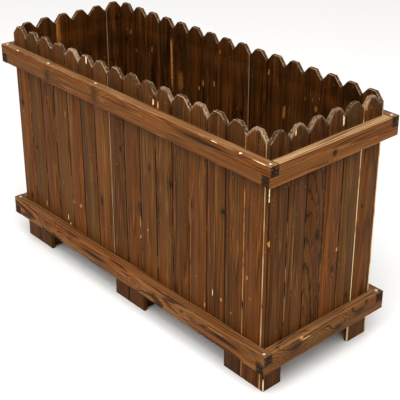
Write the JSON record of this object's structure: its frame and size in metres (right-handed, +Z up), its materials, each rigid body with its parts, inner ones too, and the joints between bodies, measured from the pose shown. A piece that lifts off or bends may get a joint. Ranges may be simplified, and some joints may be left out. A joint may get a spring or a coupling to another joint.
{
  "type": "wooden planter box",
  "caption": "Long open planter box of scorched softwood: walls of dog-eared pickets, half-lapped rail frames at top and bottom, short legs and a slatted floor inside.",
  "frame": {"origin": "on the ground under the middle of the box, at the bottom centre of its bounding box", "axes": "+X along the long side, to the right as the front is seen; +Y towards the back; +Z up"},
  "size_m": [1, 0.4, 0.625],
  "materials": {
    "picket_dark": "scorched and brushed softwood, dark",
    "picket_brown": "scorched and brushed softwood, brown",
    "picket_red": "scorched and brushed softwood, red brown",
    "rail_wood": "scorched, brushed and oiled softwood",
    "floor_wood": "scorched rough-sawn softwood",
    "screw_steel": "zinc-plated countersunk screw heads"
  },
  "bodies": {
    "root": {"front_picket_01": "picket_brown", "front_picket_02": "picket_red", "front_picket_03": "picket_dark", "front_picket_04": "picket_brown", "front_picket_05": "picket_red", "front_picket_06": "picket_dark", "front_picket_07": "picket_brown", "front_picket_08": "picket_red", "front_picket_09": "picket_dark", "front_picket_10": "picket_brown", "front_picket_11": "picket_red", "front_picket_12": "picket_dark", "front_picket_13": "picket_brown", "front_picket_14": "picket_red", "front_picket_15": "picket_dark", "front_picket_16": "picket_brown", "right_picket_01": "picket_brown", "right_picket_02": "picket_red", "right_picket_03": "picket_dark", "right_picket_04": "picket_brown", "right_picket_05": "picket_red", "right_picket_06": "picket_dark", "back_picket_01": "picket_brown", "back_picket_02": "picket_red", "back_picket_03": "picket_dark", "back_picket_04": "picket_brown", "back_picket_05": "picket_red", "back_picket_06": "picket_dark", "back_picket_07": "picket_brown", "back_picket_08": "picket_red", "back_picket_09": "picket_dark", "back_picket_10": "picket_brown", "back_picket_11": "picket_red", "back_picket_12": "picket_dark", "back_picket_13": "picket_brown", "back_picket_14": "picket_red", "back_picket_15": "picket_dark", "back_picket_16": "picket_brown", "left_picket_01": "picket_brown", "left_picket_02": "picket_red", "left_picket_03": "picket_dark", "left_picket_04": "picket_brown", "left_picket_05": "picket_red", "left_picket_06": "picket_dark", "top_front_rail": "rail_wood", "top_back_rail": "rail_wood", "top_left_rail": "rail_wood", "top_right_rail": "rail_wood", "bottom_front_rail": "rail_wood", "bottom_back_rail": "rail_wood", "bottom_left_rail": "rail_wood", "bottom_right_rail": "rail_wood", "left_bearer": "floor_wood", "middle_bearer": "floor_wood", "right_bearer": "floor_wood", "floor_board_1": "floor_wood", "floor_board_2": "floor_wood", "floor_board_3": "floor_wood", "floor_board_4": "floor_wood", "floor_board_5": "floor_wood"}
  },
  "joints": []
}
